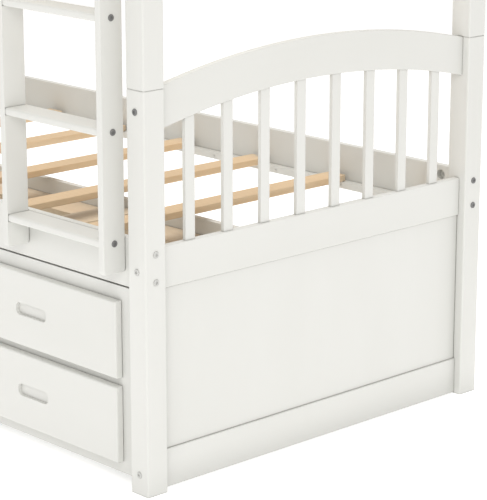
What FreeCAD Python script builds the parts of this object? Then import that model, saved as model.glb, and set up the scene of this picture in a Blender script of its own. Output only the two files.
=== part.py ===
import FreeCAD, Part
import math
import os

# A painted bunk bed: two stacked bunks with arched, slatted ends, a ladder with flat treads against
# the front, and a unit of drawers in rows and columns under the lower bunk.
# Frame while modelling: X runs along the bed (right end +X), Y from front (-) to rear (+), Z up from
# the floor, with X = Y = 0 in the middle of the four posts. Sizes are millimetres.

V = FreeCAD.Vector

# ------------------------------------------------------------------ driving sizes: frame of the bed
clear_length = 1916.0        # between the posts, for a 1905 mattress and room to tuck the sheets in
bed_width = 1072.0           # over the posts, front to rear
post = 57.0                  # square post
post_round = 4.0
post_end_bevel = 1.5         # on the upper ends of the posts and where one post stands on another
lower_height = 889.0         # lower posts
upper_height = 889.0         # upper posts, stacked on the lower ones
pin_radius = 8.0             # pin that joins an upper post to a lower post
pin_depth = 40.0             # its length inside each post
board = 17.0                 # thickness of rails, guard boards, treads, uprights and drawer fronts
board_bevel = 1.5            # eased long edges of those boards and of the slats

# ends of each bunk, measured up from the foot of that bunk's posts
arch_height = 92.0           # depth of the arched board
arch_rise = 56.0             # how far its middle stands above its ends
end_rail_low = 454.0
end_rail_height = 92.0
foot_rail_low = 2.0
foot_rail_height = 88.0
panel_thickness = 9.0
panel_groove = 8.0
end_slat_count = 8
end_slat_pitch = 111.0
end_slat_width = 27.0
end_slat_thickness = 9.0
end_slat_seat = 8.0          # length of a slat inside the rail at each end

# sides of each bunk
side_rail_low = 453.0
side_rail_height = 110.0
cleat_height = 18.0
cleat_thickness = 20.0
cleat_end_gap = 60.0         # from the post to the cleat, past the nut pockets
bed_slat_count = 7
bed_slat_width = 57.0
bed_slat_thickness = 17.0
bed_slat_end_gap = 64.0      # from the posts to the first and the last slat
bed_slat_side_gap = 12.0     # from the ends of a slat to the side rails

# guard boards of the upper bunk
guard_height = 75.0
guard_gap = 85.0             # open height under each guard board
guard_count = 2
guard_stile_width = 57.0
guard_stile_lift = 8.0       # foot of a stile above the bed slats

# joints between rails and posts
tenon_depth = 12.0
tenon_thickness = 8.0
tenon_shoulder = 16.0        # above and below the tenon
glue_gap = 0.2               # around a tenon, tongue or pin in its socket
head_radius = 7.5            # flat bolt heads that stand on the posts and uprights
head_height = 2.0
head_sides = 8               # heads and pins are prisms of a few sides in place of round ones
side_bolt_spread = 30.5      # of the two side rail bolts above and below the rail's middle
pocket_radius = 12.5         # round pocket in a side rail's inner face, for the nut of a bolt
pocket_depth = 12.0
pocket_reach = 40.0          # from the post to the middle of the pocket
pocket_sides = 12

# ladder
ladder_from_post = 32.0      # between the right post and the right upright
ladder_width = 350.0         # over the uprights
ladder_depth = 60.0          # of an upright, front to rear
ladder_low = 486.0
upright_corner = 9.0         # rounding of an upright's ends, seen from the side
tread_count = 4
tread_top = 561.0            # upper face of the lowest tread
tread_pitch = 240.5
tread_setback = 3.0          # front edge of a tread behind the uprights' front
tread_housing = 5.0          # length of a tread inside each upright
tread_nose = 5.0             # rounding of a tread's front edge

# drawer unit: face frame
columns = 3
rows = 2
unit_gap = 3.0               # under the side rail
unit_floor_gap = 24.5        # open height under the face frame
side_margin = 47.0           # face frame seen beside the outer drawer fronts
top_margin = 31.5            # seen above the upper fronts
bottom_margin = 27.5         # seen under the lower fronts
column_gap = 20.0            # between fronts side by side
row_gap = 19.5               # between fronts one above the other
front_overlap = 14.0         # of a front over the frame round its opening
front_stand_off = 1.0        # between a closed front and the frame
front_round = 4.0

# drawer unit: behind the face frame
divider_thickness = 17.0
toe_depth = 48.0             # notch in the foot of a divider behind the face frame
stretcher_width = 96.0
stretcher_drop = 22.0        # upper face of the stretchers under the top of the face frame
unit_depth = 525.0           # from the front of the face frame to the back board
runner_height = 11.4
runner_front_gap = 3.0       # from the face frame to the runner
runner_engagement = 7.0      # of a runner in its drawer groove

# drawers
drawer_depth = 500.0         # of the box behind the front
box_side_gap = 3.0           # between box and opening, each side
box_low_gap = 3.0            # between box and opening, below
box_top_gap = 13.5           # above, to clear the flat board at the rear
box_board = 13.0
box_bottom = 5.0
box_bottom_lift = 10.0       # underside of the bottom above the lower edge of the box
box_groove = 6.0             # depth of the groove that holds the bottom
runner_play = 0.3            # above and below a runner in its groove
runner_end_play = 1.0        # past the inner edge of the runner, and at its front end
runner_share = 0.5           # height of the groove's middle up the side of the box
pull_length = 108.0
pull_height = 28.5
pull_round = 12.0
pull_depth = 9.0
pull_lip = 4.0               # board left in front of the finger undercut
pull_undercut = 6.0

# ------------------------------------------------------------------ sizes that follow
bed_length = clear_length + 2 * post
x_out = bed_length / 2
x_in = clear_length / 2
y_out = bed_width / 2
y_in = y_out - post
post_axis_x = x_out - post / 2
post_axis_y = y_out - post / 2
inset = (post - board) / 2                      # rails lie in the middle of the posts
y_rail_out = y_out - inset
y_rail_in = y_rail_out - board
x_rail_out = x_out - inset
x_rail_in = x_rail_out - board
side_mid = side_rail_low + side_rail_height / 2
slat_low = side_rail_low + cleat_height
slat_top = slat_low + bed_slat_thickness
bed_slat_run = clear_length - bed_slat_width - 2 * bed_slat_end_gap
bed_slat_pitch = bed_slat_run / (bed_slat_count - 1)

upright_right = x_in - ladder_from_post         # outer face of the right upright
upright_left = upright_right - ladder_width
ladder_back = -y_rail_out                       # uprights stand against the side rails
ladder_front = ladder_back - ladder_depth
ladder_axis_y = (ladder_back + ladder_front) / 2
guard_low = lower_height + side_rail_low + side_rail_height + guard_gap
guard_pitch = guard_height + guard_gap
guard_top = guard_low + (guard_count - 1) * guard_pitch + guard_height

frame_front = -y_rail_out                       # face frame is flush with the side rail
frame_back = frame_front + board
frame_low = unit_floor_gap
frame_top = side_rail_low - unit_gap
front_width = (clear_length - 2 * side_margin - (columns - 1) * column_gap) / columns
front_height = (frame_top - frame_low - top_margin - bottom_margin - (rows - 1) * row_gap) / rows
opening_width = front_width - 2 * front_overlap
opening_height = front_height - 2 * front_overlap
column_pitch = front_width + column_gap
row_pitch = front_height + row_gap
end_stile = side_margin + front_overlap
mid_stile = column_gap + 2 * front_overlap
top_rail = top_margin + front_overlap
bottom_rail = bottom_margin + front_overlap
mid_rail = row_gap + 2 * front_overlap
back_board_front = frame_front + unit_depth
stretcher_top = frame_top - stretcher_drop
stretcher_low = stretcher_top - board
rear_board_front = back_board_front - stretcher_width
rear_board_low = stretcher_low - board
box_width = opening_width - 2 * box_side_gap
box_height = opening_height - box_low_gap - box_top_gap
front_back = frame_front - front_stand_off      # rear face of a closed drawer front
box_back = front_back + drawer_depth
divider_gap = (column_pitch - divider_thickness - box_width) / 2
groove_height = runner_height + 2 * runner_play
groove_depth = runner_engagement + runner_end_play
runner_front = frame_back + runner_front_gap

# the finished part stands with its origin under the middle of the whole, ladder included
front_reach = -ladder_front
rear_reach = y_out + head_height
to_origin = V(0, (front_reach - rear_reach) / 2, 0)

AXES = {"x": V(1, 0, 0), "y": V(0, 1, 0), "z": V(0, 0, 1)}


# ------------------------------------------------------------------ shared helpers
def block(x0, x1, y0, y1, z0, z1):
    """A plain block between two corners."""
    return Part.makeBox(x1 - x0, y1 - y0, z1 - z0, V(x0, y0, z0))


def edges_along(shape, axis):
    """The straight edges that run along an axis."""
    found = []
    for edge in shape.Edges:
        ends = [vertex.Point for vertex in edge.Vertexes]
        if len(ends) == 2 and isinstance(edge.Curve, (Part.Line, Part.LineSegment)):
            direction = (ends[1] - ends[0]).normalize()
            if abs(abs(direction.dot(AXES[axis])) - 1) < 1e-6:
                found.append(edge)
    return found


def eased(x0, x1, y0, y1, z0, z1, axis):
    """A board with its long edges, which run along the axis, eased."""
    shape = block(x0, x1, y0, y1, z0, z1)
    return shape.makeChamfer(board_bevel, edges_along(shape, axis))


def rounded(x0, x1, y0, y1, z0, z1, axis, radius):
    """A block with the edges that run along the axis rounded."""
    shape = block(x0, x1, y0, y1, z0, z1)
    return shape.makeFillet(radius, edges_along(shape, axis))


def rod(radius, start, axis, length, sides=head_sides):
    """A rod or hole with flat sides from a point along an axis; a negative length runs backwards."""
    first = AXES["y"] if axis == "x" else AXES["x"]
    second = AXES["y"] if axis == "z" else AXES["z"]
    corners = []
    for index in range(sides + 1):
        angle = 2 * math.pi * index / sides
        corners.append(start + first * (radius * math.cos(angle)) + second * (radius * math.sin(angle)))
    return Part.Face(Part.makePolygon(corners)).extrude(AXES[axis] * length)


def cut_all(shape, tools):
    return shape.cut(tools) if tools else shape


def across_x(shape):
    """The same piece at the other end of the bed."""
    return shape.mirror(V(0, 0, 0), AXES["x"])


def across_y(shape):
    """The same piece on the other side of the bed."""
    return shape.mirror(V(0, 0, 0), AXES["y"])


def in_quarter(shape, right, rear):
    """Takes a piece made for the right rear corner to any corner."""
    shape = shape if right else across_x(shape)
    return shape if rear else across_y(shape)


def raised(shape, height):
    return shape.translated(V(0, 0, height))


nodes = {}


def keep(name, solids):
    """Stores a piece, or a group of like pieces, under its node name."""
    solids = solids if isinstance(solids, list) else [solids]
    shapes = [part.translated(to_origin) for solid in solids for part in solid.Solids]
    nodes[name] = shapes[0] if len(shapes) == 1 else Part.makeCompound(shapes)


# ------------------------------------------------------------------ rails with tenons
# A rail's ends are butted against the posts, with a stub tenon in a mortise, and are held by
# bolts that run through the post. Of a bolt only the head on the post's outer face is modelled.
def end_tenon(low, height, spare=0.0):
    """Tenon of an end rail into the rear post at the right end, or its mortise with a spare gap."""
    return block(post_axis_x - tenon_thickness / 2 - spare, post_axis_x + tenon_thickness / 2 + spare,
                 y_in - (0 if spare else 1), y_in + tenon_depth + spare,
                 low + tenon_shoulder - spare, low + height - tenon_shoulder + spare)


def side_tenon(low, height, spare=0.0):
    """Tenon of a rear rail or guard board into the right rear post, or its mortise."""
    return block(x_in - (0 if spare else 1), x_in + tenon_depth + spare,
                 post_axis_y - tenon_thickness / 2 - spare, post_axis_y + tenon_thickness / 2 + spare,
                 low + tenon_shoulder - spare, low + height - tenon_shoulder + spare)


def bolt_head(face_point, axis, outward=1):
    """Flat bolt head that stands on a face whose outside is along the axis, or against it."""
    return rod(head_radius, face_point, axis, outward * head_height)


def both_sides(tools):
    return tools + [across_y(tool) for tool in tools]


def both_ends(tools):
    return tools + [across_x(tool) for tool in tools]


# Heights of the joints, up from the foot of a bunk's posts: low edge, height of the board.
end_rail = (end_rail_low, end_rail_height)
arches = {                                      # the ends of an arch are level with the post tops
    "lower": (lower_height - arch_height, arch_height),
    "upper": (upper_height - arch_height, arch_height),
}
foot_rail = (foot_rail_low, foot_rail_height)
side_rail = (side_rail_low, side_rail_height)
side_bolt_heights = [side_mid - side_bolt_spread, side_mid + side_bolt_spread]
guards = [(guard_low + row * guard_pitch - lower_height, guard_height) for row in range(guard_count)]


def middle_of(joint):
    return joint[0] + joint[1] / 2


def end_slat_positions():
    first = -(end_slat_count - 1) / 2 * end_slat_pitch
    return [first + index * end_slat_pitch for index in range(end_slat_count)]


def arch_z(y, low):
    """Height of an arched edge at y, for an arch whose ends are at the height low."""
    radius = (y_in ** 2 + arch_rise ** 2) / (2 * arch_rise)
    return low + arch_rise - radius + math.sqrt(radius ** 2 - y ** 2)


def end_slat(y, arch, spare=0.0):
    """A slat of the right end from the end rail up into the arch, or its seat with a spare gap."""
    width = end_slat_width / 2 + spare
    thickness = end_slat_thickness / 2 + spare
    low = end_rail_low + end_rail_height - end_slat_seat
    high = arch_z(y, arch[0]) + end_slat_seat
    return block(post_axis_x - thickness, post_axis_x + thickness, y - width, y + width, low, high)


def panel_block(spare=0.0):
    thickness = panel_thickness / 2 + spare
    low = foot_rail_low + foot_rail_height - panel_groove - spare
    high = end_rail_low + panel_groove + spare
    half = y_in + panel_groove + spare
    return block(post_axis_x - thickness, post_axis_x + thickness, -half, half, low, high)


def finish_end_board(board_shape, joint, sockets):
    """Adds the tenons of a board at the right end, and cuts its sockets."""
    shape = board_shape.fuse(both_sides([end_tenon(*joint)])).removeSplitter()
    return cut_all(shape, sockets)


def make_arch_rail(arch):
    low, height = arch
    left, right = -y_in, y_in
    top_ends = [V(x_rail_in, left, low + height), V(x_rail_in, right, low + height)]
    low_ends = [V(x_rail_in, left, low), V(x_rail_in, right, low)]
    crown = V(x_rail_in, 0, low + height + arch_rise)
    hollow = V(x_rail_in, 0, low + arch_rise)
    outline = Part.Wire([Part.Arc(top_ends[0], crown, top_ends[1]).toShape(),
                         Part.LineSegment(top_ends[1], low_ends[1]).toShape(),
                         Part.Arc(low_ends[1], hollow, low_ends[0]).toShape(),
                         Part.LineSegment(low_ends[0], top_ends[0]).toShape()])
    shape = Part.Face(outline).extrude(V(board, 0, 0))
    arcs = [edge for edge in shape.Edges if isinstance(edge.Curve, Part.Circle)]
    shape = shape.makeChamfer(board_bevel, arcs)
    return finish_end_board(shape, arch, [end_slat(y, arch, glue_gap) for y in end_slat_positions()])


def make_end_rail(arch, with_panel):
    low, height = end_rail
    shape = eased(x_rail_in, x_rail_out, -y_in, y_in, low, low + height, "y")
    sockets = [end_slat(y, arch, glue_gap) for y in end_slat_positions()]
    if with_panel:
        sockets.append(panel_block(glue_gap))
    return finish_end_board(shape, end_rail, sockets)


def make_foot_rail():
    low, height = foot_rail
    shape = eased(x_rail_in, x_rail_out, -y_in, y_in, low, low + height, "y")
    return finish_end_board(shape, foot_rail, [panel_block(glue_gap)])


def nut_pocket(z):
    """Room for the nut of a side rail bolt, in the inner face near the right end."""
    start = V(x_in - pocket_reach, y_rail_in - 1, z)
    return rod(pocket_radius, start, "y", pocket_depth + 1, pocket_sides)


def make_side_rail():
    """The rear side rail, with a tenon and two nut pockets at each end."""
    low, height = side_rail
    shape = eased(-x_in, x_in, y_rail_in, y_rail_out, low, low + height, "x")
    shape = shape.fuse(both_ends([side_tenon(*side_rail)])).removeSplitter()
    return cut_all(shape, both_ends([nut_pocket(z) for z in side_bolt_heights]))


# ------------------------------------------------------------------ posts
def make_post(level, has_guards):
    """The post at the right rear corner, from its own foot at z = 0."""
    is_lower = level == "lower"
    height = lower_height if is_lower else upper_height
    shape = rounded(x_in, x_out, y_in, y_out, 0, height, "z", post_round)
    ends = [height] if is_lower else [0, height]
    outlines = [edge for edge in shape.Edges if any(abs(edge.CenterOfMass.z - z) < 1e-6 for z in ends)]
    shape = shape.makeChamfer(post_end_bevel, outlines)
    end_joints = [end_rail, arches[level]] + ([foot_rail] if is_lower else [])
    tools = [end_tenon(*joint, spare=glue_gap) for joint in end_joints]
    tools.append(side_tenon(*side_rail, spare=glue_gap))
    if has_guards:
        tools += [side_tenon(*joint, spare=glue_gap) for joint in guards]
    if is_lower:
        tools.append(panel_block(glue_gap))
    pin_foot = height - pin_depth - glue_gap if is_lower else -1
    pin_axis = V(post_axis_x, post_axis_y, pin_foot)
    tools.append(rod(pin_radius + glue_gap, pin_axis, "z", pin_depth + glue_gap + 1))
    return cut_all(shape, tools)


def end_head(z):
    """Bolt head of an end board, on the rear face of the right rear post."""
    return bolt_head(V(post_axis_x, y_out, z), "y")


def side_head(z):
    """Bolt head of a side rail, on the end face of the right rear post."""
    return bolt_head(V(x_out, post_axis_y, z), "x")


def by_corner(shape, height):
    """A piece at all four corners: front left, front right, rear left, rear right."""
    corners = [(right, rear) for rear in (False, True) for right in (False, True)]
    return [raised(in_quarter(shape, right, rear), height) for right, rear in corners]


# ------------------------------------------------------------------ sides, slats and guards
def make_cleat():
    y = y_rail_in
    half = x_in - cleat_end_gap
    return block(-half, half, y - cleat_thickness, y, side_rail_low, side_rail_low + cleat_height)


def make_bed_slats():
    slats = []
    half = y_rail_in - bed_slat_side_gap
    for index in range(bed_slat_count):
        right = x_in - bed_slat_end_gap - index * bed_slat_pitch
        slats.append(eased(right - bed_slat_width, right, -half, half, slat_low, slat_top, "y"))
    return slats


def make_rear_guard(joint):
    low, height = joint
    low += lower_height
    shape = eased(-x_in, x_in, y_rail_in, y_rail_out, low, low + height, "x")
    return shape.fuse(both_ends([side_tenon(low, height)])).removeSplitter()


def make_front_guard(joint):
    """Runs from the left post to behind the ladder's left upright, which carries its end."""
    low, height = joint
    low += lower_height
    shape = eased(-x_in, upright_left + board, -y_rail_out, -y_rail_in, low, low + height, "x")
    return shape.fuse(across_y(across_x(side_tenon(low, height)))).removeSplitter()


def make_guard_stiles():
    """Uprights on the inner faces that tie the guard boards to the upper side rails."""
    low = lower_height + slat_top + guard_stile_lift
    reach_front = upright_left - guard_stile_width + x_in
    front = [-x_in + reach_front / 3, upright_left - guard_stile_width]
    rear = [-x_in / 3 - guard_stile_width / 2, x_in / 3 - guard_stile_width / 2]
    stiles = []
    for x in front:
        stiles.append(eased(x, x + guard_stile_width, -y_rail_in, -y_rail_in + board, low, guard_top, "z"))
    for x in rear:
        stiles.append(eased(x, x + guard_stile_width, y_rail_in - board, y_rail_in, low, guard_top, "z"))
    return stiles


# ------------------------------------------------------------------ ladder
def tread_heights():
    return [tread_top + index * tread_pitch for index in range(tread_count)]


def make_tread(top):
    """A flat tread with a rounded nose, housed in both uprights."""
    shape = block(upright_left + board - tread_housing, upright_right - board + tread_housing,
                  ladder_front + tread_setback, ladder_back, top - board, top)
    nose = [edge for edge in edges_along(shape, "x")
            if abs(edge.CenterOfMass.y - ladder_front - tread_setback) < 1e-6]
    return shape.makeFillet(tread_nose, nose)


def ladder_heads():
    """Heads of the bolts that run through the uprights into the ends of the treads."""
    heads = []
    for top in tread_heights():
        z = top - board / 2
        heads.append(bolt_head(V(upright_right, ladder_axis_y, z), "x"))
        heads.append(bolt_head(V(upright_left, ladder_axis_y, z), "x", -1))
    return heads


def tread_housings():
    """The treads with a gap all round, to cut their seats in the uprights."""
    left = upright_left + board - tread_housing - glue_gap
    right = upright_right - board + tread_housing + glue_gap
    front = ladder_front + tread_setback - glue_gap
    return [block(left, right, front, ladder_back + 1, top - board - glue_gap, top + glue_gap)
            for top in tread_heights()]


def make_upright(left_face):
    """A full-height upright with rounded ends, housed for the treads."""
    shape = rounded(left_face, left_face + board, ladder_front, ladder_back, ladder_low, guard_top,
                    "x", upright_corner)
    middle = left_face + board / 2
    outlines = [edge for edge in shape.Edges if abs(abs(edge.CenterOfMass.x - middle) - board / 2) < 1e-6]
    return cut_all(shape.makeChamfer(board_bevel, outlines), tread_housings())


# ------------------------------------------------------------------ drawer unit
def column_centres():
    return [(index - (columns - 1) / 2) * column_pitch for index in range(columns)]


def row_lows():
    """Lower edges of the fronts, from the lowest row up."""
    return [frame_low + bottom_margin + row * row_pitch for row in range(rows)]


def divider_centres():
    return [(index - columns / 2) * column_pitch for index in range(columns + 1)]


def make_end_stiles():
    stile = block(x_in - end_stile, x_in, frame_front, frame_back, frame_low, frame_top)
    return [stile, across_x(stile)]


def make_mid_stiles():
    return [block(x - mid_stile / 2, x + mid_stile / 2, frame_front, frame_back,
                  frame_low + bottom_rail, frame_top - top_rail) for x in divider_centres()[1:-1]]


def make_frame_rail(low, height):
    half = x_in - end_stile
    return block(-half, half, frame_front, frame_back, low, low + height)


def make_mid_rails():
    rails = []
    for x in column_centres():
        for low in row_lows()[1:]:
            z = low - row_gap - front_overlap
            half = opening_width / 2
            rails.append(block(x - half, x + half, frame_front, frame_back, z, z + mid_rail))
    return rails


def make_dividers():
    """Upright boards between the columns, notched for the feet and for the flat board at the rear."""
    outline = [(frame_back, stretcher_low), (rear_board_front, stretcher_low),
               (rear_board_front, rear_board_low), (back_board_front, rear_board_low),
               (back_board_front, 0), (frame_back + toe_depth, 0),
               (frame_back + toe_depth, frame_low), (frame_back, frame_low)]
    dividers = []
    for x in divider_centres():
        left = x - divider_thickness / 2
        corners = [V(left, y, z) for y, z in outline]
        face = Part.Face(Part.makePolygon(corners + corners[:1]))
        dividers.append(face.extrude(V(divider_thickness, 0, 0)))
    return dividers


def make_stretchers():
    """Flat boards over the dividers that tie frame and back together and keep the drawers level."""
    stretchers = []
    for x in divider_centres():
        left = max(x - stretcher_width / 2, -x_in)
        right = min(x + stretcher_width / 2, x_in)
        stretchers.append(block(left, right, frame_back, back_board_front, stretcher_low, stretcher_top))
    return stretchers


def make_rear_board():
    """Flat board along the back board, under the rear ends of the stretchers."""
    return block(-x_in, x_in, rear_board_front, back_board_front, rear_board_low, stretcher_low)


def make_back_board():
    return block(-x_in, x_in, back_board_front, back_board_front + board, frame_low, frame_top)


def box_low(front_low):
    return front_low + front_overlap + box_low_gap


def groove_middle(front_low):
    return box_low(front_low) + box_height * runner_share


def make_runners():
    """Strips on the dividers that carry the drawers by grooves in their sides."""
    runners = []
    reach = divider_gap + runner_engagement
    for x in column_centres():
        for low in row_lows():
            z = groove_middle(low) - runner_height / 2
            for side in (-1, 1):
                wall = x + side * (column_pitch - divider_thickness) / 2
                x0, x1 = sorted((wall, wall - side * reach))
                runners.append(block(x0, x1, runner_front, back_board_front, z, z + runner_height))
    return runners


# ------------------------------------------------------------------ drawers
def finger_pull(middle_x, middle_z, face_y):
    """Recess with rounded ends and an undercut behind its upper lip for the finger tips."""
    half = pull_length / 2
    recess = rounded(middle_x - half, middle_x + half, face_y - 1, face_y + pull_depth,
                     middle_z - pull_height / 2, middle_z + pull_height / 2, "y", pull_round)
    inner = half - pull_round
    undercut = block(middle_x - inner, middle_x + inner, face_y + pull_lip, face_y + pull_depth,
                     middle_z, middle_z + pull_height / 2 + pull_undercut)
    return [recess, undercut]


def make_drawer_front(middle_x, low):
    """Front board with its outer edges rounded over, and a finger pull in the middle."""
    face_y = front_back - board
    shape = block(middle_x - front_width / 2, middle_x + front_width / 2, face_y, front_back,
                  low, low + front_height)
    outer = [edge for edge in shape.Edges if abs(edge.CenterOfMass.y - face_y) < 1e-6]
    shape = shape.makeFillet(front_round, outer)
    return cut_all(shape, finger_pull(middle_x, low + front_height / 2, face_y))


def make_drawer_box(middle_x, front_low):
    """Two grooved sides, box front, back and a bottom that slides into grooves all round."""
    low = box_low(front_low)
    high = low + box_height
    half = box_width / 2
    inner = half - box_board
    bottom = block(middle_x - inner - box_groove, middle_x + inner + box_groove,
                   front_back + box_board - box_groove, box_back - box_board + box_groove,
                   low + box_bottom_lift, low + box_bottom_lift + box_bottom)
    side = block(middle_x + inner, middle_x + half, front_back, box_back, low, high)
    z = groove_middle(front_low)
    groove = block(middle_x + half - groove_depth, middle_x + half + 1,
                   runner_front - runner_end_play, box_back + 1,
                   z - groove_height / 2, z + groove_height / 2)
    side = side.cut([groove, bottom])
    other = side.mirror(V(middle_x, 0, 0), AXES["x"])
    crosses = [block(middle_x - inner, middle_x + inner, y, y + box_board, low, high).cut(bottom)
               for y in (front_back, box_back - box_board)]
    return [side, other] + crosses + [bottom]


# ------------------------------------------------------------------ the whole bed
def build_bed_frame():
    zinc_heads = []
    black_heads = ladder_heads()
    for level, base in (("lower", 0), ("upper", lower_height)):
        is_lower = level == "lower"
        arch = arches[level]
        for right, end in ((True, "right"), (False, "left")):
            for rear, side in ((False, "front"), (True, "rear")):
                has_guards = not is_lower and (rear or not right)
                shape = in_quarter(make_post(level, has_guards), right, rear)
                keep(f"{level}_post_{side}_{end}", raised(shape, base))
            boards = (("arch_rail", make_arch_rail(arch)), ("end_rail", make_end_rail(arch, is_lower)))
            for name, shape in boards:
                keep(f"{level}_{name}_{end}", raised(shape if right else across_x(shape), base))
        slats = both_ends([end_slat(y, arch) for y in end_slat_positions()])
        keep(f"{level}_end_slats", [raised(slat, base) for slat in slats])
        rail = make_side_rail()
        keep(f"{level}_side_rail_rear", raised(rail, base))
        keep(f"{level}_side_rail_front", raised(across_y(rail), base))
        keep(f"{level}_bed_slats", [raised(slat, base) for slat in make_bed_slats()])

        for joint in [end_rail] + ([foot_rail] if is_lower else []):
            zinc_heads += by_corner(end_head(middle_of(joint)), base)
        for z in side_bolt_heights:
            front_left, front_right, rear_left, rear_right = by_corner(side_head(z), base)
            zinc_heads += [front_left, front_right]
            black_heads += [rear_left, rear_right]
        black_heads += by_corner(end_head(middle_of(arch)), base)

    cleats = both_sides([make_cleat()])
    keep("slat_cleats", cleats + [raised(strip, lower_height) for strip in cleats])
    pin = rod(pin_radius, V(post_axis_x, post_axis_y, lower_height - pin_depth), "z", 2 * pin_depth)
    keep("post_pins", by_corner(pin, 0))
    for right, end in ((True, "right"), (False, "left")):
        for name, shape in (("end_panel", panel_block()), ("foot_rail", make_foot_rail())):
            keep(f"{name}_{end}", shape if right else across_x(shape))
    keep("zinc_bolt_heads", zinc_heads)
    keep("black_bolt_heads", black_heads)


def build_guards():
    for index, joint in enumerate(guards):
        height = ("low", "high")[index] if guard_count == 2 else str(index + 1)
        keep(f"guard_front_{height}", make_front_guard(joint))
        keep(f"guard_rear_{height}", make_rear_guard(joint))
    keep("guard_stiles", make_guard_stiles())


def build_ladder():
    keep("ladder_upright_right", make_upright(upright_right - board))
    keep("ladder_upright_left", make_upright(upright_left))
    keep("ladder_treads", [make_tread(top) for top in tread_heights()])


def build_drawer_unit():
    keep("face_stiles", make_end_stiles() + make_mid_stiles())
    long_rails = [make_frame_rail(frame_top - top_rail, top_rail), make_frame_rail(frame_low, bottom_rail)]
    keep("face_rails", long_rails + make_mid_rails())
    keep("unit_dividers", make_dividers())
    keep("unit_stretchers", make_stretchers() + [make_rear_board()])
    keep("unit_back_board", make_back_board())
    keep("drawer_runners", make_runners())


def build_drawers():
    row_names = ["low", "high"] if rows == 2 else [str(row) for row in range(rows)]
    for column, x in enumerate(column_centres()):
        for name, low in zip(row_names, row_lows()):
            keep(f"drawer_front_{name}_{column + 1}", make_drawer_front(x, low))
            keep(f"drawer_box_{name}_{column + 1}", make_drawer_box(x, low))


def write_parts():
    os.makedirs("parts", exist_ok=True)
    for name, shape in nodes.items():
        if not shape.isValid():
            print("not valid:", name)
        shape.exportStep(f"parts/{name}.step")
    whole = Part.makeCompound(list(nodes.values())).BoundBox
    print(len(nodes), "nodes,", sum(len(shape.Solids) for shape in nodes.values()), "solids")
    print("size", round(whole.XLength, 1), round(whole.YLength, 1), round(whole.ZLength, 1))


build_bed_frame()
build_guards()
build_ladder()
build_drawer_unit()
build_drawers()
write_parts()
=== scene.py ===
# %% [markdown]
# # A painted bunk bed, dressed around its measured frame
# The bed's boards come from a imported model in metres, with the floor at height zero. This lesson
# gives every board its paint or its bare pine, adds the small hardware that is too fine for the
# solids, and sets up the camera and the light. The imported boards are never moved.

# %% Load the measured frame
import math
import bmesh
import bpy
from mathutils import Matrix, Vector


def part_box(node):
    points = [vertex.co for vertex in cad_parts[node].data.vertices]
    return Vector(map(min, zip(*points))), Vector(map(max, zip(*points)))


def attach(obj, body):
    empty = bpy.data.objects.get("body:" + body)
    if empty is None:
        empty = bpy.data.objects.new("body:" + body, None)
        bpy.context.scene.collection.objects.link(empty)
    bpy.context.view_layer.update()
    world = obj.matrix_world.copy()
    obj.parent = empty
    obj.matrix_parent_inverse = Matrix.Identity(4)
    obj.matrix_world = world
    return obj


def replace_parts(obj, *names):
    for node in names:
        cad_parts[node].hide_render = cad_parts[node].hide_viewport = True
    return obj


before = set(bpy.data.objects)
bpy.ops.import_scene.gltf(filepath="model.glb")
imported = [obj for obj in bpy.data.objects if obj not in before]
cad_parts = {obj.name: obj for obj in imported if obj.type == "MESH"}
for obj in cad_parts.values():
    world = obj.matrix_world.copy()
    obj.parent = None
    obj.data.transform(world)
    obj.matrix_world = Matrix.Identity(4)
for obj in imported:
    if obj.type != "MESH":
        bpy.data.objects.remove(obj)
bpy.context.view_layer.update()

MM = 0.001

# %% [markdown]
# ## The camera
# The picture was taken from the right front, a little above the bed, with a long lens that
# stands well back, so upright posts stay nearly parallel. Blender's sensor width goes with the
# longer side of the picture, here its height, so the lens is the focal length in pixels times
# 36 mm over 500 pixels.

# %% Place the camera
CAMERA_PLACE = Vector((4.2862, -3.3150, 1.6950))
CAMERA_YAW, CAMERA_PITCH = 2.3864, -0.2593
FOCAL_PIXELS, PICTURE_HEIGHT, SENSOR = 2129.9, 500, 36.0
level_reach = math.cos(CAMERA_PITCH)
look = Vector((math.cos(CAMERA_YAW) * level_reach, math.sin(CAMERA_YAW) * level_reach,
               math.sin(CAMERA_PITCH)))
lens_data = bpy.data.cameras.new("camera")
lens_data.sensor_width = SENSOR
lens_data.lens = FOCAL_PIXELS * SENSOR / PICTURE_HEIGHT
lens_data.clip_end = 60.0
camera = bpy.data.objects.new("camera", lens_data)
bpy.context.scene.collection.objects.link(camera)
camera.location = CAMERA_PLACE
camera.rotation_euler = look.to_track_quat("-Z", "Y").to_euler()
bpy.context.scene.camera = camera
print("lens", round(lens_data.lens, 1), "mm")

# %% [markdown]
# ## Floor and light
# A photo studio is a white room: light comes from everywhere and shadows are faint. A pale floor,
# a white surrounding and two large soft lamps do the same. The stronger lamp is on the side of
# the bed's end, which makes the end brighter than the drawers' side.

# %% Lay the floor
def new_object(name, mesh):
    piece = bpy.data.objects.new(name, mesh)
    bpy.context.scene.collection.objects.link(piece)
    return piece


def mesh_from(shape, name):
    """Turns a finished bmesh into a named object with outward faces."""
    bmesh.ops.recalc_face_normals(shape, faces=shape.faces)
    mesh = bpy.data.meshes.new(name)
    shape.to_mesh(mesh)
    shape.free()
    return new_object(name, mesh)


def new_material(name, color, roughness):
    material = bpy.data.materials.new(name)
    material.use_nodes = True
    shader = material.node_tree.nodes["Principled BSDF"]
    shader.inputs["Base Color"].default_value = (*color, 1)
    shader.inputs["Roughness"].default_value = roughness
    return material


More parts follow.
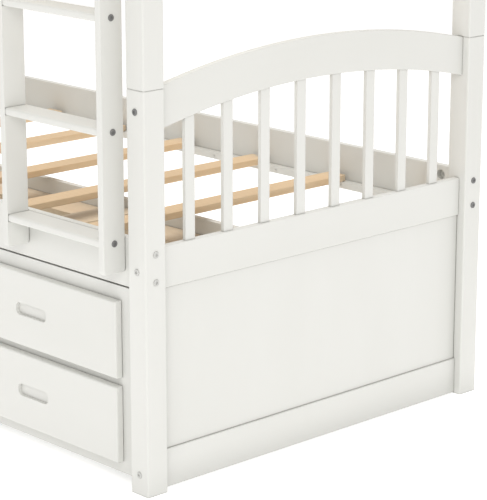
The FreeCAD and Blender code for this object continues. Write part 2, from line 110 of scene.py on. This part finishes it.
floor_shape = bmesh.new()
bmesh.ops.create_grid(floor_shape, x_segments=1, y_segments=1, size=30.0)
floor = mesh_from(floor_shape, "studio_floor")
floor_paint = new_material("studio floor", (0.92, 0.92, 0.92), 0.9)
floor_shader = floor_paint.node_tree.nodes["Principled BSDF"]
floor_shader.inputs["Emission Color"].default_value = (1, 1, 1, 1)
floor_shader.inputs["Emission Strength"].default_value = 0.45
floor.data.materials.append(floor_paint)

# %% Hang the lamps
LIGHT_COLOR = (1.0, 0.99, 0.965)


def add_lamp(name, place, target, width, watts):
    lamp_data = bpy.data.lights.new(name, "AREA")
    lamp_data.size = width
    lamp_data.energy = watts
    lamp_data.color = LIGHT_COLOR
    lamp = bpy.data.objects.new(name, lamp_data)
    bpy.context.scene.collection.objects.link(lamp)
    lamp.location = place
    lamp.rotation_euler = (Vector(target) - Vector(place)).to_track_quat("-Z", "Y").to_euler()


add_lamp("key_lamp", (5.2, -4.8, 4.8), (0, 0, 0.7), 3.0, 132)
add_lamp("top_lamp", (0.0, 0.5, 5.0), (0, 0, 0.7), 4.0, 140)
room = bpy.data.worlds.new("white room")
room.use_nodes = True
room.node_tree.nodes["Background"].inputs["Color"].default_value = (*LIGHT_COLOR, 1)
room.node_tree.nodes["Background"].inputs["Strength"].default_value = 0.565
bpy.context.scene.world = room
bpy.context.scene.view_settings.view_transform = "Standard"

# %% [markdown]
# ## Paint on wood
# Satin paint over pine is not one flat white: the tone drifts softly along a board, fine fibres
# still telegraph through as shallow grooves, and the roller leaves a faint orange peel. Several
# materials share this effect, so it is one node group. Its vector has the grain running along Z,
# and each material turns its board into that direction.

# %% Build the painted surface group
def add_node(tree, kind, **sockets):
    """Adds a node, and sets or links its inputs by name. Underscores stand for spaces."""
    node = tree.nodes.new(kind)
    for name, value in sockets.items():
        socket = node.inputs[name.replace("_", " ")] if isinstance(name, str) else node.inputs[name]
        if isinstance(value, bpy.types.NodeSocket):
            tree.links.new(value, socket)
        else:
            socket.default_value = value
    return node


def new_group(name, inputs, outputs):
    group = bpy.data.node_groups.new(name, "ShaderNodeTree")
    for label, kind, default in inputs:
        socket = group.interface.new_socket(label, in_out="INPUT", socket_type=kind)
        if default is not None:
            socket.default_value = default
    for label, kind in outputs:
        group.interface.new_socket(label, in_out="OUTPUT", socket_type=kind)
    return group, group.nodes.new("NodeGroupInput"), group.nodes.new("NodeGroupOutput")


def stretched(tree, vector, scale):
    """The vector with each direction scaled, so that a round pattern becomes long fibres."""
    return add_node(tree, "ShaderNodeMapping", Vector=vector, Scale=scale).outputs["Vector"]


def noise(tree, vector, scale, detail=2.0, roughness=0.5):
    return add_node(tree, "ShaderNodeTexNoise", Vector=vector, Scale=scale, Detail=detail,
                    Roughness=roughness).outputs["Fac"]


def remap(tree, value, low, high, new_low, new_high):
    node = add_node(tree, "ShaderNodeMapRange", Value=value)
    for name, number in (("From Min", low), ("From Max", high), ("To Min", new_low), ("To Max", new_high)):
        node.inputs[name].default_value = number
    return node.outputs["Result"]


def blend_colors(tree, factor, first, second):
    node = tree.nodes.new("ShaderNodeMix")
    node.data_type = "RGBA"
    for index, value in ((0, factor), (6, first), (7, second)):
        if isinstance(value, bpy.types.NodeSocket):
            tree.links.new(value, node.inputs[index])
        else:
            node.inputs[index].default_value = value
    return node.outputs[2]


def arithmetic(tree, operation, first, second):
    node = tree.nodes.new("ShaderNodeMath")
    node.operation = operation
    for index, value in enumerate((first, second)):
        if isinstance(value, bpy.types.NodeSocket):
            tree.links.new(value, node.inputs[index])
        else:
            node.inputs[index].default_value = value
    return node.outputs[0]


painted, painted_in, painted_out = new_group(
    "painted wood surface",
    [("Vector", "NodeSocketVector", None), ("Paint", "NodeSocketColor", (0.79, 0.79, 0.766, 1)),
     ("Shade", "NodeSocketColor", (0.755, 0.755, 0.725, 1)), ("Grain", "NodeSocketFloat", 1.0)],
    [("Color", "NodeSocketColor"), ("Roughness", "NodeSocketFloat"), ("Height", "NodeSocketFloat")])
drift = noise(painted, stretched(painted, painted_in.outputs["Vector"], (1.0, 1.0, 0.35)), 4.0, 3.0)
fibres = noise(painted, stretched(painted, painted_in.outputs["Vector"], (1.0, 1.0, 0.02)), 260.0, 4.0, 0.6)
peel = noise(painted, painted_in.outputs["Vector"], 700.0, 1.0)
open_fibres = arithmetic(painted, "MULTIPLY", remap(painted, fibres, 0.60, 0.74, 0.0, 1.0),
                         painted_in.outputs["Grain"])
tone = arithmetic(painted, "MAXIMUM", remap(painted, drift, 0.35, 0.75, 0.0, 0.8),
                  arithmetic(painted, "MULTIPLY", open_fibres, 0.5))
painted.links.new(blend_colors(painted, tone, painted_in.outputs["Paint"], painted_in.outputs["Shade"]),
                  painted_out.inputs["Color"])
painted.links.new(remap(painted, peel, 0.3, 0.7, 0.34, 0.44), painted_out.inputs["Roughness"])
groove = arithmetic(painted, "MULTIPLY", open_fibres, -0.8)
painted.links.new(arithmetic(painted, "ADD", groove, arithmetic(painted, "MULTIPLY", peel, 0.25)),
                  painted_out.inputs["Height"])
print("painted surface:", len(painted.nodes), "nodes")

# %% [markdown]
# ## Bare pine
# The bed slats, the drawer runners and the boards on top of the drawer unit are unpainted. Pine
# shows long, slightly wavy bands where the saw met the year rings, fine fibres, and here and there
# a knot. Bands come from a wave texture bent by noise, and knots from cells stretched along the
# grain, of which only a few are kept.

# %% Build the bare pine group
pine, pine_in, pine_out = new_group(
    "bare pine surface",
    [("Vector", "NodeSocketVector", None), ("Pale", "NodeSocketColor", (0.78, 0.595, 0.395, 1)),
     ("Late", "NodeSocketColor", (0.66, 0.445, 0.245, 1)),
     ("Knot", "NodeSocketColor", (0.22, 0.10, 0.045, 1))],
    [("Color", "NodeSocketColor"), ("Roughness", "NodeSocketFloat"), ("Height", "NodeSocketFloat")])
pine_vector = pine_in.outputs["Vector"]
bend = noise(pine, stretched(pine, pine_vector, (1.0, 1.0, 0.12)), 9.0, 2.0)
rings = pine.nodes.new("ShaderNodeTexWave")
rings.bands_direction = "X"
pine.links.new(stretched(pine, pine_vector, (1.0, 1.0, 0.06)), rings.inputs["Vector"])
rings.inputs["Scale"].default_value = 28.0
rings.inputs["Distortion"].default_value = 5.0
rings.inputs["Detail"].default_value = 2.0
rings.inputs["Detail Scale"].default_value = 0.8
late_wood = arithmetic(pine, "MULTIPLY", remap(pine, rings.outputs["Fac"], 0.45, 1.0, 0.0, 1.0),
                       remap(pine, bend, 0.3, 0.7, 0.35, 1.0))
fine = noise(pine, stretched(pine, pine_vector, (1.0, 1.0, 0.015)), 420.0, 3.0, 0.6)
cells = pine.nodes.new("ShaderNodeTexVoronoi")
pine.links.new(stretched(pine, pine_vector, (9.0, 9.0, 3.2)), cells.inputs["Vector"])
cells.inputs["Scale"].default_value = 1.0
kept = arithmetic(pine, "GREATER_THAN", cells.outputs["Color"], 0.62)
knot = arithmetic(pine, "MULTIPLY", remap(pine, cells.outputs["Distance"], 0.10, 0.045, 0.0, 1.0), kept)
halo = arithmetic(pine, "MULTIPLY", remap(pine, cells.outputs["Distance"], 0.28, 0.08, 0.0, 0.55), kept)
wood_tone = arithmetic(pine, "MAXIMUM", arithmetic(pine, "ADD", arithmetic(pine, "MULTIPLY", late_wood, 0.7),
                       arithmetic(pine, "MULTIPLY", fine, 0.25)), halo)
wood = blend_colors(pine, wood_tone, pine_in.outputs["Pale"], pine_in.outputs["Late"])
pine.links.new(blend_colors(pine, knot, wood, pine_in.outputs["Knot"]), pine_out.inputs["Color"])
pine.links.new(remap(pine, fine, 0.3, 0.7, 0.52, 0.66), pine_out.inputs["Roughness"])
pine.links.new(arithmetic(pine, "ADD", fine, arithmetic(pine, "MULTIPLY", late_wood, 0.3)),
               pine_out.inputs["Height"])
print("pine surface:", len(pine.nodes), "nodes")

# %% [markdown]
# ## Painted shade in creases and recesses
# Where two boards meet, a thin grey line of painted shade is drawn, and a board that lies deeper than
# its neighbours is painted darker, as painted shade for the light it lacks. Ambient occlusion finds
# both: a short one for the line, a long one for the recess.

# %% Build the painted shade group
painted_shade_group, painted_shade_in, painted_shade_out = new_group(
    "creases between boards",
    [("Color", "NodeSocketColor", (0.8, 0.8, 0.8, 1)), ("Depth", "NodeSocketFloat", 0.6),
     ("Recess", "NodeSocketFloat", 0.4)],
    [("Color", "NodeSocketColor")])
# Painted shade: a short occlusion darkens the colour in a thin line where boards meet.
crease_light = painted_shade_group.nodes.new("ShaderNodeAmbientOcclusion")
crease_light.samples = 8
crease_light.inputs["Distance"].default_value = 5.0 * MM
crease = arithmetic(painted_shade_group, "MULTIPLY", remap(painted_shade_group, crease_light.outputs["AO"], 0.32, 0.84, 1.0, 0.0),
                    painted_shade_in.outputs["Depth"])
# Painted shade: a long occlusion darkens boards that lie deeper than their neighbours.
recess_light = painted_shade_group.nodes.new("ShaderNodeAmbientOcclusion")
recess_light.samples = 8
recess_light.inputs["Distance"].default_value = 70.0 * MM
recess_shade = arithmetic(painted_shade_group, "MULTIPLY", remap(painted_shade_group, recess_light.outputs["AO"], 0.45, 1.0, 1.0, 0.0),
                    painted_shade_in.outputs["Recess"])
# The dark greys that the painted shade blends towards.
recess_shaded_color = blend_colors(painted_shade_group, recess_shade, painted_shade_in.outputs["Color"], (0.45, 0.45, 0.42, 1))
painted_shade_group.links.new(blend_colors(painted_shade_group, crease, recess_shaded_color, (0.16, 0.16, 0.14, 1)), painted_shade_out.inputs["Color"])
print("crease group:", len(painted_shade_group.nodes), "nodes")

# %% [markdown]
# ## One material for each direction of grain
# A board's grain runs along its length: up the posts, along the rails. The same group is used in
# each material, with a Mapping node that turns the board's length into Z. A Bevel node rounds the
# light at sharp corners by a millimetre, as a sanded and painted edge does. The painted shade of
# creases and recesses darkens the base colour. The drawers and the ladder leave the painted recess
# shade out: drawers slide away from what is next to them.

# %% Mix the paints and the pine
GRAIN_TURN = {"x": (0, math.radians(90), 0), "y": (math.radians(90), 0, 0), "z": (0, 0, 0)}


def wood_material(name, group, axis, edge_radius, bump_depth, crease_shade_strength=0.6, recess_shade=0.4, **values):
    """A material that uses a surface group, with its grain along one axis, softened corners, and painted
    shade in creases and recesses.
    """
    material = new_material(name, (0.8, 0.8, 0.8), 0.5)
    tree = material.node_tree
    place = add_node(tree, "ShaderNodeTexCoord").outputs["Object"]
    turned = add_node(tree, "ShaderNodeMapping", Vector=place, Rotation=GRAIN_TURN[axis]).outputs["Vector"]
    surface = tree.nodes.new("ShaderNodeGroup")
    surface.node_tree = group
    tree.links.new(turned, surface.inputs["Vector"])
    for label, value in values.items():
        surface.inputs[label].default_value = value
    soft = add_node(tree, "ShaderNodeBevel", Radius=edge_radius)
    soft.samples = 6
    bump = add_node(tree, "ShaderNodeBump", Height=surface.outputs["Height"], Normal=soft.outputs["Normal"],
                    Distance=bump_depth, Strength=1.0)
    shader = tree.nodes["Principled BSDF"]
    # Painted shade: creases and recesses darken the base colour.
    painted_shade_node = tree.nodes.new("ShaderNodeGroup")
    painted_shade_node.node_tree = painted_shade_group
    painted_shade_node.inputs["Depth"].default_value = crease_shade_strength
    painted_shade_node.inputs["Recess"].default_value = recess_shade
    tree.links.new(surface.outputs["Color"], painted_shade_node.inputs["Color"])
    tree.links.new(painted_shade_node.outputs["Color"], shader.inputs["Base Color"])
    tree.links.new(surface.outputs["Roughness"], shader.inputs["Roughness"])
    tree.links.new(bump.outputs["Normal"], shader.inputs["Normal"])
    shader.inputs["Specular IOR Level"].default_value = 0.4
    return material


def paints(name, crease_shade_strength, recess_shade):
    """One paint, with its grain along each axis, and two strengths of painted shade: in the crease lines and
    over deep boards.
    """
    return {axis: wood_material(f"{name} along {axis}", painted, axis, 1.5 * MM, 0.00006, crease_shade_strength, recess_shade)
            for axis in "xyz"}


# Copies of one white paint that differ only in painted shade: how dark the crease lines are painted and how
# much darker deep boards are painted. The pine and the hardboard get painted shade as well.
paint = paints("white paint", 0.6, 0.2)
paint_with_faint_crease_shade = paints("white paint with fine joints", 0.3, 0.4)
paint_without_recess_shade = paints("white paint in the open", 0.25, 0.0)
panel_paint = wood_material("white paint on panels", painted, "z", 1.5 * MM, 0.00006, 1.0, 0.5)
bare = {axis: wood_material(f"bare pine along {axis}", pine, axis, 0.8 * MM, 0.00008) for axis in "xyz"}
unit_pine = {axis: wood_material(f"pale pine along {axis}", pine, axis, 0.8 * MM, 0.00008,
                                 Pale=(0.80, 0.66, 0.49, 1), Late=(0.70, 0.53, 0.36, 1)) for axis in "xy"}
hardboard = wood_material("grey faced hardboard", painted, "y", 0.2 * MM, 0.00002, 0.3, 0.0,
                          Paint=(0.66, 0.65, 0.62, 1), Shade=(0.60, 0.59, 0.56, 1), Grain=0.0)
print("wood materials:", sorted(m.name for m in bpy.data.materials))

# %% [markdown]
# ## Which board gets which finish
# Every packed board keeps its shape and only changes its material. The first words of its name
# say what it is, so one short table covers all of them. Some names stand for a group of boards, so
# a second step picks out single boards of a group by their measures: grain runs along the length
# of each board, and a drawer's bottom is thin grey hardboard.

# %% Paint the boards
FINISH = [
    ("lower_post", paint["z"]), ("upper_post", paint["z"]), ("end_panel", panel_paint),
    ("foot_rail", paint_with_faint_crease_shade["y"]), ("lower_arch", paint["y"]), ("upper_arch", paint["y"]),
    ("lower_end_rail", paint["y"]), ("upper_end_rail", paint["y"]), ("lower_end_slats", paint_with_faint_crease_shade["z"]),
    ("upper_end_slats", paint_with_faint_crease_shade["z"]), ("lower_side_rail", paint["x"]), ("upper_side_rail", paint["x"]),
    ("guard_stiles", paint["z"]), ("guard_", paint["x"]), ("ladder_upright", paint_without_recess_shade["z"]),
    ("ladder_treads", paint["x"]), ("face_stiles", paint_with_faint_crease_shade["z"]), ("face_rails", paint_with_faint_crease_shade["x"]),
    ("unit_back", paint["x"]), ("unit_dividers", paint["z"]), ("drawer_front", paint_without_recess_shade["x"]),
    ("drawer_box", paint_without_recess_shade["y"]), ("slat_cleats", paint["x"]), ("lower_bed_slats", bare["y"]),
    ("upper_bed_slats", bare["y"]), ("unit_stretchers", unit_pine["y"]), ("drawer_runners", bare["y"]),
    ("post_pins", bare["z"]),
]
for name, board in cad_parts.items():
    finish = next((material for start, material in FINISH if name.startswith(start)), None)
    if finish:
        board.data.materials.clear()
        board.data.materials.append(finish)


# %% Measure the boards of a group, and finish them apart
def separate_parts(node):
    """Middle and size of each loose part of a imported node, in metres."""
    shape = bmesh.new()
    shape.from_mesh(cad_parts[node].data)
    bmesh.ops.remove_doubles(shape, verts=shape.verts, dist=0.01 * MM)
    found, unseen = [], set(shape.verts)
    while unseen:
        reached, island = [unseen.pop()], []
        while reached:
            vert = reached.pop()
            island.append(vert.co.copy())
            near = [edge.other_vert(vert) for edge in vert.link_edges if edge.other_vert(vert) in unseen]
            unseen.difference_update(near)
            reached.extend(near)
        low = Vector([min(co[i] for co in island) for i in range(3)])
        high = Vector([max(co[i] for co in island) for i in range(3)])
        found.append(((low + high) / 2, high - low))
    shape.free()
    return sorted(found, key=lambda part: tuple(part[0]))


def finish_apart(node, is_wanted, material):
    """Gives another material to the faces of those boards of a group whose size is wanted."""
    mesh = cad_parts[node].data
    mesh.materials.append(material)
    for middle, size in separate_parts(node):
        if is_wanted(size):
            for face in mesh.polygons:
                if all(abs(face.center[i] - middle[i]) < size[i] / 2 + 0.1 * MM for i in range(3)):
                    face.material_index = len(mesh.materials) - 1


drawer_boxes = [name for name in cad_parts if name.startswith("drawer_box")]
for name in drawer_boxes:
    finish_apart(name, lambda size: size.x > 0.3, paint_without_recess_shade["x"])
    finish_apart(name, lambda size: size.z < 0.01, hardboard)
finish_apart("unit_stretchers", lambda size: size.x > 1.0, unit_pine["x"])
print("boards finished:", sum(len(board.data.materials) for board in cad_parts.values()))

# %% [markdown]
# ## Bolt heads
# Furniture bolts have a flat steel head with a softened rim and a six-sided socket for a key.
# The solids only hold a plain low prism for each. A better head starts from a circle that is
# extruded up in two steps to make the rim, then the ring between it and a six-sided loop is
# filled, and the loop is pushed down for the socket.

# %% Find where the heads are
HEAD_HEIGHT = 2.0 * MM
left_upright_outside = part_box("ladder_upright_left")[0].x


def outward(middle, size):
    """Direction in which a head faces: along its thin side, away from the board that it is on."""
    thin = min(range(3), key=lambda i: size[i])
    direction = Vector((0, 0, 0))
    direction[thin] = math.copysign(1.0, middle[thin])
    if thin == 0 and abs(middle.x - left_upright_outside) < HEAD_HEIGHT:
        direction.x = -1.0
    return direction


def head_spots(node):
    """Foot of each head on its board, and the direction in which it faces."""
    spots = []
    for middle, size in separate_parts(node):
        direction = outward(middle, size)
        spots.append((middle - direction * HEAD_HEIGHT / 2, direction))
    return spots


zinc_spots = head_spots("zinc_bolt_heads")
black_spots = head_spots("black_bolt_heads")
print("bolt heads:", len(zinc_spots), "zinc and", len(black_spots), "black")

# %% Make one head and set it everywhere
def add_head(shape, foot_point, direction, radius, height, socket_radius, socket_sides=6,
             squash=1.0, sink=0.85):
    """Adds a round head to a bmesh, foot on the board; sink is the socket's share of its height."""
    place = Matrix.Translation(foot_point) @ direction.to_track_quat("Z", "Y").to_matrix().to_4x4()
    foot = bmesh.ops.create_circle(shape, cap_ends=False, segments=24, radius=radius, matrix=place)["verts"]
    foot_edges = list({edge for vert in foot for edge in vert.link_edges})
    rim = foot_edges
    for rise, width in ((height * 0.6, 1.0), (height * 0.4, 0.93)):
        grown = bmesh.ops.extrude_edge_only(shape, edges=rim)["geom"]
        verts = [item for item in grown if isinstance(item, bmesh.types.BMVert)]
        bmesh.ops.translate(shape, verts=verts, vec=direction * rise)
        bmesh.ops.scale(shape, verts=verts, vec=(width, width, 1.0), space=place.inverted())
        rim = [item for item in grown if isinstance(item, bmesh.types.BMEdge) and
               all(vert in verts for vert in item.verts)]
    top = place @ Matrix.Translation((0, 0, height)) @ Matrix.Diagonal((1.0, squash, 1.0, 1.0))
    socket = bmesh.ops.create_circle(shape, cap_ends=False, segments=socket_sides, radius=socket_radius,
                                     matrix=top)["verts"]
    inner = list({edge for vert in socket for edge in vert.link_edges})
    bmesh.ops.triangle_fill(shape, edges=rim + inner, normal=direction, use_beauty=True)
    sunk = bmesh.ops.extrude_edge_only(shape, edges=inner)["geom"]
    bottom = [item for item in sunk if isinstance(item, bmesh.types.BMVert)]
    bottom_edges = [item for item in sunk if isinstance(item, bmesh.types.BMEdge) and
                    all(vert in bottom for vert in item.verts)]
    bmesh.ops.translate(shape, verts=bottom, vec=direction * (-height * sink))
    bmesh.ops.edgeloop_fill(shape, edges=bottom_edges)
    bmesh.ops.edgeloop_fill(shape, edges=foot_edges)


worn, worn_in, worn_out = new_group(
    "worn steel surface",
    [("Vector", "NodeSocketVector", None), ("Steel", "NodeSocketColor", (0.6, 0.6, 0.6, 1)),
     ("Polish", "NodeSocketFloat", 0.3)],
    [("Color", "NodeSocketColor"), ("Roughness", "NodeSocketFloat")])
patches = noise(worn, worn_in.outputs["Vector"], 900.0, 3.0)
rubbed = blend_colors(worn, 0.28, worn_in.outputs["Steel"], (0, 0, 0, 1))
worn.links.new(blend_colors(worn, patches, worn_in.outputs["Steel"], rubbed), worn_out.inputs["Color"])
worn.links.new(arithmetic(worn, "ADD", worn_in.outputs["Polish"], remap(worn, patches, 0.3, 0.7, 0.0, 0.15)),
               worn_out.inputs["Roughness"])


def steel_material(name, color, roughness, metallic):
    material = new_material(name, color, roughness)
    tree = material.node_tree
    shader = tree.nodes["Principled BSDF"]
    surface = tree.nodes.new("ShaderNodeGroup")
    surface.node_tree = worn
    tree.links.new(add_node(tree, "ShaderNodeTexCoord").outputs["Object"], surface.inputs["Vector"])
    surface.inputs["Steel"].default_value = (*color, 1)
    surface.inputs["Polish"].default_value = roughness
    tree.links.new(surface.outputs["Color"], shader.inputs["Base Color"])
    tree.links.new(surface.outputs["Roughness"], shader.inputs["Roughness"])
    shader.inputs["Metallic"].default_value = metallic
    return material


zinc = steel_material("bright zinc", (0.70, 0.70, 0.68), 0.36, 0.75)
dull_zinc = steel_material("dull zinc", (0.66, 0.66, 0.64), 0.55, 0.3)
black_steel = steel_material("black steel", (0.28, 0.28, 0.28), 0.5, 0.4)


def add_heads(name, spots, material, slot, body="bed_frame", **measures):
    """One piece with a head at each spot, that moves with a body."""
    shape = bmesh.new()
    for foot_point, direction in spots:
        add_head(shape, foot_point, direction, **measures)
    heads = mesh_from(shape, name)
    heads.data.materials.append(material)
    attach(heads, body)
    return heads


BOLT = {"radius": 7.4 * MM, "height": HEAD_HEIGHT, "socket_radius": 3.4 * MM, "sink": 0.8}
zinc_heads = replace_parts(add_heads("zinc_heads", zinc_spots, zinc, "zinc", **BOLT), "zinc_bolt_heads")
black_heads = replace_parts(add_heads("black_heads", black_spots, black_steel, "black_steel", **BOLT),
                          "black_bolt_heads")
print("faces in all heads:", len(zinc_heads.data.polygons) + len(black_heads.data.polygons))

# %% [markdown]
# ## Barrel nuts
# Each bolt ends in a barrel nut, a small steel cylinder that lies across the rail. Only its round
# end with a slot can be seen: level with the wood in the end rails, 36 mm from the post, and on
# the floor of a round pocket in the side rails. It is a very low head with a slot for a socket.

# %% Set the nuts into the rails
NUT_REACH = (12.0 + 36.0) * MM
POCKET_REACH = (12.0 + 40.0) * MM
POCKET_DEPTH = 12.0 * MM
SIDE_BOLT_SPREAD = 30.5 * MM
END_BOLT_RISE = 46.0 * MM
bed_middle = (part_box("lower_side_rail_front")[0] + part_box("lower_side_rail_rear")[1]) / 2


def inner_face(low, high, axis):
    """Where the inner face of a board is on an axis, and which way it looks."""
    looks = -math.copysign(1.0, (low[axis] + high[axis]) / 2 - bed_middle[axis])
    direction = Vector((0, 0, 0))
    direction[axis] = looks
    return (high if looks > 0 else low)[axis], direction


nut_spots = []
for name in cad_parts:
    low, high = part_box(name)
    if "arch_rail" in name or "end_rail" in name or "foot_rail" in name:
        face_x, direction = inner_face(low, high, 0)
        z = low.z + END_BOLT_RISE
        nut_spots += [(Vector((face_x, y, z)), direction) for y in (low.y + NUT_REACH, high.y - NUT_REACH)]
    elif "side_rail" in name:
        face_y, direction = inner_face(low, high, 1)
        middle_z = (low.z + high.z) / 2
        pocket_floor = face_y - direction.y * POCKET_DEPTH
        nut_spots += [(Vector((x, pocket_floor, z)), direction)
                      for x in (low.x + POCKET_REACH, high.x - POCKET_REACH)
                      for z in (middle_z - SIDE_BOLT_SPREAD, middle_z + SIDE_BOLT_SPREAD)]
barrel_nuts = add_heads("barrel_nuts", nut_spots, dull_zinc, "zinc", radius=5.0 * MM, height=0.3 * MM,
                        socket_radius=3.6 * MM, socket_sides=4, squash=0.28)
print("barrel nuts:", len(nut_spots))

# %% [markdown]
# ## Wood screws
# Slats, cleats, guard stiles, stretchers and drawers are held by countersunk screws. They follow
# the boards: one at each slat's end, a row along each cleat, two where a stile crosses a board.
# A screw is the same low head again, smaller, with a four-sided drive. The cleats were painted
# after they were screwed on, so their screws are white.

# %% Find the places of the screws
UP, REARWARD = Vector((0, 0, 1)), Vector((0, 1, 0))
SLAT_SCREW_INSET = 9.5 * MM
CLEAT_SCREW_INSET = 60 * MM
CLEAT_SCREW_COUNT = 8
STILE_SCREW_SPREAD = 15 * MM
STILE_FOOT_INSET = 28 * MM
STRETCHER_FRONT_INSET = 60 * MM
STRETCHER_REAR_INSET = 9 * MM
BACK_LOW_INSET, BACK_HIGH_INSET = 40 * MM, 75 * MM


def spread(low, high, count):
    return [low + (high - low) * index / (count - 1) for index in range(count)]


screw_spots, cleat_spots = [], []
for node in ("lower_bed_slats", "upper_bed_slats"):
    for middle, size in separate_parts(node):
        reach = size.y / 2 - SLAT_SCREW_INSET
        screw_spots += [(middle + Vector((0, y, size.z / 2)), UP) for y in (-reach, reach)]
for middle, size in separate_parts("slat_cleats"):
    face_y, direction = inner_face(middle - size / 2, middle + size / 2, 1)
    reach = size.x / 2 - CLEAT_SCREW_INSET
    cleat_spots += [(Vector((x, face_y, middle.z)), direction)
                    for x in spread(-reach, reach, CLEAT_SCREW_COUNT)]
crossed = [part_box(name) for name in ("upper_side_rail_rear", "guard_rear_low", "guard_rear_high")]
for middle, size in separate_parts("guard_stiles"):
    face_y, direction = inner_face(middle - size / 2, middle + size / 2, 1)
    for low, high in crossed:
        z = max((low.z + high.z) / 2, middle.z - size.z / 2 + STILE_FOOT_INSET)
        screw_spots += [(Vector((middle.x + x, face_y, z)), direction)
                        for x in (-STILE_SCREW_SPREAD, STILE_SCREW_SPREAD)]
divider_lines = [middle.x for middle, size in separate_parts("unit_dividers")]
stretchers = [part for part in separate_parts("unit_stretchers") if part[1].y > 0.3]
for (middle, size), x in zip(stretchers, divider_lines):
    for y in (-size.y / 2 + STRETCHER_FRONT_INSET, 0, size.y / 2 - STRETCHER_REAR_INSET):
        screw_spots.append((Vector((x, middle.y + y, middle.z + size.z / 2)), UP))
back_low, back_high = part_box("unit_back_board")
screw_spots += [(Vector((x, back_high.y, z)), REARWARD) for x in divider_lines
                for z in spread(back_low.z + BACK_LOW_INSET, back_high.z - BACK_HIGH_INSET, 3)]
SCREW = {"radius": 3.8 * MM, "height": 0.4 * MM, "socket_radius": 1.9 * MM, "socket_sides": 4}
wood_screws = add_heads("wood_screws", screw_spots, zinc, "zinc", **SCREW)
painted_screws = add_heads("painted_screws", cleat_spots, paint["x"], "white_paint", **SCREW)
print("screws on the bed:", len(screw_spots), "and painted over:", len(cleat_spots))

# %% Fix the ladder and the drawers
LADDER_BOLT_RISES = (4 * MM, 40 * MM)
FRONT_SCREW_X, FRONT_SCREW_Z = 190 * MM, 35 * MM
BOX_SCREW_INSET, BOX_SCREW_Z = 6.5 * MM, 45 * MM
ladder_spots = []
for name in ("lower_side_rail_front", "upper_side_rail_front"):
    low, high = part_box(name)
    for upright in ("ladder_upright_left", "ladder_upright_right"):
        x = (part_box(upright)[0].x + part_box(upright)[1].x) / 2
        ladder_spots += [(Vector((x, high.y, (low.z + high.z) / 2 + z)), REARWARD)
                         for z in LADDER_BOLT_RISES]
ladder_bolts = add_heads("ladder_bolts", ladder_spots, zinc, "zinc", **BOLT)
for name in drawer_boxes:
    spots = []
    boards = separate_parts(name)
    low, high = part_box(name)
    middle = (low + high) / 2
    box_front = min((part for part in boards if part[1].x > 0.3 and part[1].z > 0.1),
                    key=lambda part: part[0].y)
    inside_y = box_front[0].y + box_front[1].y / 2
    for x in (-FRONT_SCREW_X, FRONT_SCREW_X):
        for z in (-FRONT_SCREW_Z, FRONT_SCREW_Z):
            spots.append((Vector((middle.x + x, inside_y, middle.z + z)), REARWARD))
    for y in (low.y + BOX_SCREW_INSET, high.y - BOX_SCREW_INSET):
        for z in (-BOX_SCREW_Z, BOX_SCREW_Z):
            spots.append((Vector((low.x, y, middle.z + z)), Vector((-1, 0, 0))))
            spots.append((Vector((high.x, y, middle.z + z)), Vector((1, 0, 0))))
    add_heads(name.replace("box", "screws"), spots, zinc, "zinc", body=name.replace("_box", ""), **SCREW)
print("drawers with screws:", len(drawer_boxes))
